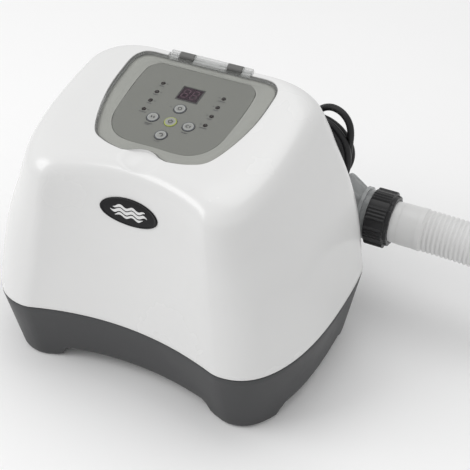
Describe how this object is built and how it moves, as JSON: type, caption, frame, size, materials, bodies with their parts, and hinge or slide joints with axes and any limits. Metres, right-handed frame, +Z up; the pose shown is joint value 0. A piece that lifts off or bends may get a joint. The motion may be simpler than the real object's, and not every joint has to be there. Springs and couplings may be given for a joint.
{
  "type": "salt chlorine generator",
  "caption": "Pool salt chlorinator: domed housing with a lidded control panel, an electrolytic cell behind it with screw-ring hose ports, a corrugated hose and a mains cord.",
  "frame": {"origin": "bottom centre of the box around the housing, base and cell with its nuts, on the plane the feet rest on; the hose and the mains cord are not counted", "axes": "+Z up; the scooped front with the badge faces -Y; +X is to the right seen from the front and runs along the cell, towards the port with the hose"},
  "size_m": [1.0765, 0.535, 0.2752],
  "materials": {
    "white_shell": "gloss moulded plastic",
    "grey_base": "fine texture",
    "steel": "plated screw",
    "bezel_grey": "satin",
    "membrane_grey": "printed film",
    "smoked_window": "smoked acrylic",
    "dark_plastic": "satin",
    "led_lens": "tinted lens",
    "button_grey": "satin key",
    "button_green": "satin key with a yellow-green ring",
    "circuit_board": "solder mask",
    "clear_lid": "clear acrylic",
    "badge_black": "gloss domed plate",
    "cell_clear": "frosted translucent",
    "titanium": "coated titanium",
    "nut_black": "moulded thread ring",
    "gasket_rubber": "soft",
    "aluminium": "extruded",
    "cord_black": "PVC jacket",
    "hose_white": "polyethylene"
  },
  "bodies": {
    "housing": {"upper_shell": "white_shell", "base_tray": "grey_base", "base_feet": "grey_base", "shell_screws": "steel", "panel_frame": "bezel_grey", "panel_membrane": "membrane_grey", "display_window": "smoked_window", "display_module": "dark_plastic", "indicator_leds": "led_lens", "key_switches": "dark_plastic", "control_board": "circuit_board", "board_screws": "steel", "hinge_brackets": "grey_base", "badge": "badge_black", "cell_housing": "cell_clear", "flow_switch": "dark_plastic", "electrode_plates": "titanium", "plate_combs": "cell_clear", "cell_socket": "dark_plastic", "cell_saddles": "grey_base", "saddle_screws": "steel", "port_gaskets": "gasket_rubber", "board_standoffs": "dark_plastic", "power_board": "circuit_board", "heat_sink": "aluminium", "terminal_block": "dark_plastic", "transformer": "steel", "cord_gland": "nut_black", "power_cord_coil": "cord_black", "power_cord_lead": "cord_black", "power_cord_tail": "cord_black", "cord_tie": "nut_black", "plug_body": "cord_black", "plug_pins": "steel", "hose_cuff": "hose_white", "hose_run": "hose_white", "hose_end_cuff": "hose_white"},
    "lid": {"lid": "clear_lid", "hinge_pins": "steel"},
    "button_centre": {"button_centre": "button_green"},
    "button_up": {"button_up": "button_grey"},
    "button_down": {"button_down": "button_grey"},
    "button_left": {"button_left": "button_grey"},
    "button_right": {"button_right": "button_grey"},
    "nut_right": {"union_nut_right": "nut_black"},
    "nut_left": {"union_nut_left": "nut_black"},
    "paddle": {"flow_paddle": "dark_plastic"}
  },
  "joints": [
    {"name": "lid_hinge", "type": "hinge", "parent": "housing", "child": "lid", "pos_m": [0, 0.05484, 0.27131], "axis": [-1, 0, 0], "range_deg": [0, 105]},
    {"name": "button_centre_press", "type": "slide", "parent": "housing", "child": "button_centre", "axis": [0, 0.1901, -0.9818], "range_m": [0, 0.0008], "stiffness_N_per_m": 800, "springref_m": -0.0008},
    {"name": "button_up_press", "type": "slide", "parent": "housing", "child": "button_up", "axis": [0, 0.1901, -0.9818], "range_m": [0, 0.0008], "stiffness_N_per_m": 800, "springref_m": -0.0008},
    {"name": "button_down_press", "type": "slide", "parent": "housing", "child": "button_down", "axis": [0, 0.1901, -0.9818], "range_m": [0, 0.0008], "stiffness_N_per_m": 800, "springref_m": -0.0008},
    {"name": "button_left_press", "type": "slide", "parent": "housing", "child": "button_left", "axis": [0, 0.1901, -0.9818], "range_m": [0, 0.0008], "stiffness_N_per_m": 800, "springref_m": -0.0008},
    {"name": "button_right_press", "type": "slide", "parent": "housing", "child": "button_right", "axis": [0, 0.1901, -0.9818], "range_m": [0, 0.0008], "stiffness_N_per_m": 800, "springref_m": -0.0008},
    {"name": "nut_right_turn", "type": "hinge", "parent": "housing", "child": "nut_right", "pos_m": [0.168, 0.1068, 0.106], "axis": [1, 0, 0], "continuous": true},
    {"name": "nut_left_turn", "type": "hinge", "parent": "housing", "child": "nut_left", "pos_m": [-0.168, 0.1068, 0.106], "axis": [1, 0, 0], "continuous": true},
    {"name": "paddle_swing", "type": "hinge", "parent": "housing", "child": "paddle", "pos_m": [-0.08, 0.1068, 0.1325], "axis": [0, -1, 0], "range_deg": [0, 35], "stiffness_Nm_per_rad": 0.002, "springref_deg": -5.73}
  ]
}
